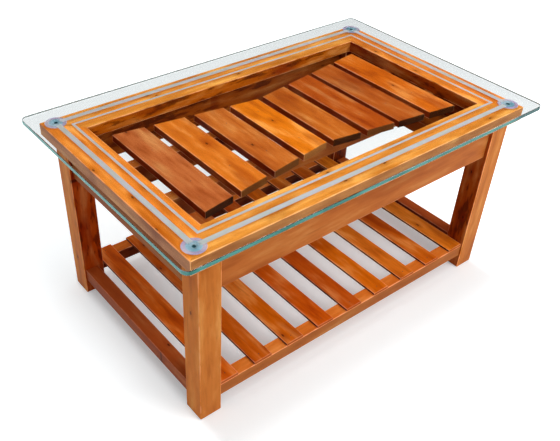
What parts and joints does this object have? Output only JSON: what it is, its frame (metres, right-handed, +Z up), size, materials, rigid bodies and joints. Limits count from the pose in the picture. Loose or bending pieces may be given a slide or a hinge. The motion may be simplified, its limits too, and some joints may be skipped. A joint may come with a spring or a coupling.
{
  "type": "coffee table",
  "caption": "Rectangular wooden coffee table with square legs, a sunken panel of slats under an overhanging clear glass sheet, and a slatted shelf near the floor.",
  "frame": {"origin": "on the floor, under the middle of the table", "axes": "+X along the long side, +Y from front to back, +Z up"},
  "size_m": [0.974, 0.616, 0.458],
  "materials": {
    "frame_wood": "reddish brown solid wood under satin varnish",
    "top_wood": "golden brown solid wood under satin varnish",
    "slat_wood": "orange brown solid wood under satin varnish, each slat its own shade",
    "pale_wood": "unvarnished joinery wood",
    "clear_glass": "clear float glass with a green edge and two etched lines",
    "clear_vinyl": "clear soft vinyl",
    "fastener_steel": "dulled steel"
  },
  "bodies": {
    "root": {"glass_top": "clear_glass", "leg_front_left": "frame_wood", "leg_front_right": "frame_wood", "leg_back_left": "frame_wood", "leg_back_right": "frame_wood", "top_rail_front": "top_wood", "top_rail_back": "top_wood", "top_rail_left": "top_wood", "top_rail_right": "top_wood", "apron_front": "frame_wood", "apron_back": "frame_wood", "apron_left": "frame_wood", "apron_right": "frame_wood", "shelf_rail_front": "frame_wood", "shelf_rail_back": "frame_wood", "shelf_rail_left": "frame_wood", "shelf_rail_right": "frame_wood", "end_rest_left": "frame_wood", "end_rest_right": "frame_wood", "slat_bearer_front": "frame_wood", "slat_bearer_back": "frame_wood", "top_slat_1": "slat_wood", "top_slat_2": "slat_wood", "top_slat_3": "slat_wood", "top_slat_4": "slat_wood", "top_slat_5": "slat_wood", "top_slat_6": "slat_wood", "top_slat_7": "slat_wood", "top_slat_8": "slat_wood", "shelf_slat_1": "slat_wood", "shelf_slat_2": "slat_wood", "shelf_slat_3": "slat_wood", "shelf_slat_4": "slat_wood", "shelf_slat_5": "slat_wood", "shelf_slat_6": "slat_wood", "shelf_slat_7": "slat_wood", "shelf_slat_8": "slat_wood", "shelf_slat_9": "slat_wood", "glass_pad_front_left": "clear_vinyl", "glass_pad_front_right": "clear_vinyl", "glass_pad_back_left": "clear_vinyl", "glass_pad_back_right": "clear_vinyl", "mitre_tongues": "pale_wood", "leg_loose_tenons": "pale_wood", "rest_loose_tenons": "pale_wood", "top_slat_brads": "fastener_steel", "shelf_slat_brads": "fastener_steel", "bearer_screws": "fastener_steel"}
  },
  "joints": []
}
